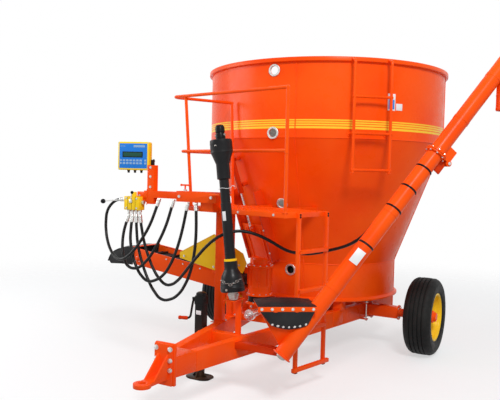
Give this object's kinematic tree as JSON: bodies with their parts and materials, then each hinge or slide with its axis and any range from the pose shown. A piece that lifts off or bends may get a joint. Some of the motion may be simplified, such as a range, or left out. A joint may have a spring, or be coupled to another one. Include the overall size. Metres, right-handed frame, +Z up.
{
  "type": "vertical feed mixer wagon",
  "caption": "Towed vertical feed mixer wagon with an open conical tub, A-frame drawbar, two wheels, side conveyor, grain auger, platform and ladders.",
  "frame": {"origin": "on the ground, at the middle of the machine's outline box", "axes": "+Z up, -Y forward towards the hitch, +X towards the machine's left side"},
  "size_m": [3.8534, 4.3349, 2.8645],
  "materials": {
    "paint": "gloss",
    "deep_paint": "gloss",
    "yellow_paint": "gloss",
    "tyre": "matt",
    "rubber": "satin",
    "steel": "satin",
    "black_paint": "satin",
    "instrument": "satin",
    "pto_guard": "satin",
    "worn_steel": "worn"
  },
  "bodies": {
    "wagon": {"drawbar_beam_left": "paint", "drawbar_beam_right": "paint", "cross_members": "paint", "hitch_plate": "paint", "axle_beam": "paint", "tub_ring_1": "paint", "tub_ring_2": "paint", "tub_ring_3": "paint", "tub_ring_4": "paint", "tub_cone_1": "paint", "tub_cone_2": "paint", "tub_cone_3": "paint", "tub_cone_4": "paint", "tub_base": "paint", "tub_rim": "paint", "sight_rings": "steel", "gearbox": "deep_paint", "door_frame": "deep_paint", "drive_gearbox": "paint", "conveyor": "paint", "conveyor_belt": "rubber", "conveyor_flap": "rubber", "guard_sheet": "yellow_paint", "deck": "paint", "guard_rails": "paint", "lower_ladder": "paint", "upper_ladder": "paint", "posts": "paint", "jack": "black_paint", "arm": "paint", "monitor": "instrument", "valve": "yellow_paint", "pto_shaft": "pto_guard", "hopper": "paint", "hopper_cover": "rubber", "tube_lower": "paint", "tube_brackets": "deep_paint", "hose_1": "rubber", "hose_2": "rubber", "hose_3": "rubber", "hose_4": "rubber", "hose_5": "rubber"},
    "wheel_left": {"tyre_left": "tyre", "wheel_left": "yellow_paint", "hub_left": "paint"},
    "wheel_right": {"tyre_right": "tyre", "wheel_right": "yellow_paint", "hub_right": "paint"},
    "mixing_auger": {"mixing_auger": "worn_steel"},
    "discharge_door": {"discharge_door": "paint"},
    "upper_tube": {"tube_upper": "paint", "spout": "paint"},
    "input_shaft": {"input_shaft": "steel"}
  },
  "joints": [
    {"name": "wheel_left_spin", "type": "hinge", "parent": "wagon", "child": "wheel_left", "pos_m": [1.02765, 0.8565, 0.376], "axis": [1, 0, 0], "continuous": true},
    {"name": "wheel_right_spin", "type": "hinge", "parent": "wagon", "child": "wheel_right", "pos_m": [-1.26035, 0.8565, 0.376], "axis": [1, 0, 0], "continuous": true},
    {"name": "mixing_auger_spin", "type": "hinge", "parent": "wagon", "child": "mixing_auger", "pos_m": [-0.11635, 0.9245, 0.538], "axis": [0, 0, 1], "continuous": true},
    {"name": "input_shaft_spin", "type": "hinge", "parent": "wagon", "child": "input_shaft", "pos_m": [-0.11635, -0.6855, 0.51], "axis": [0, -1, 0], "continuous": true},
    {"name": "discharge_door_slide", "type": "slide", "parent": "wagon", "child": "discharge_door", "axis": [-0.1369, -0.3224, 0.9367], "range_m": [0, 0.3]},
    {"name": "upper_tube_fold", "type": "hinge", "parent": "wagon", "child": "upper_tube", "pos_m": [1.43339, -0.2988, 1.85243], "axis": [-0.7193, 0.6947, 0], "range_deg": [0, 110]}
  ]
}
